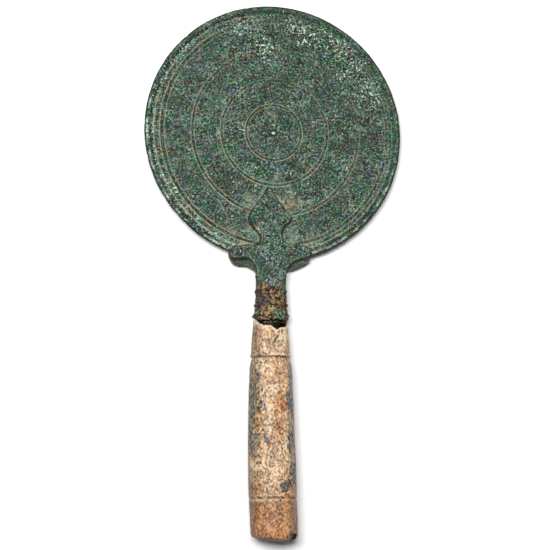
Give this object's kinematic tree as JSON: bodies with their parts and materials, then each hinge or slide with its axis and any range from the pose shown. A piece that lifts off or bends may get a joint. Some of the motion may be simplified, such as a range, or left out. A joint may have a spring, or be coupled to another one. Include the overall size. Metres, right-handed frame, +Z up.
{
  "type": "bronze mirror",
  "caption": "Ancient bronze hand mirror: a ringed disc held by a leaf-shaped mount with two short arms and a ringed neck, on a turned bone handle.",
  "frame": {"origin": "on the ground it lies on, at the centre of the rectangle it covers", "axes": "+Z up, out of the ringed face; +Y along the handle towards the disc's far rim; +X to the right, seen from above with the handle below"},
  "size_m": [0.1392, 0.2892, 0.0266],
  "materials": {
    "patinated_bronze": "matt green patina with darker and paler specks over the whole disc",
    "crusted_bronze": "matt green patina, with a rough brown crust on the neck",
    "aged_bone": "smooth yellow-brown bone with a dull polish, pores and dark stains"
  },
  "bodies": {
    "root": {"disc": "patinated_bronze", "handle_mount": "crusted_bronze", "handle": "aged_bone"}
  },
  "joints": []
}
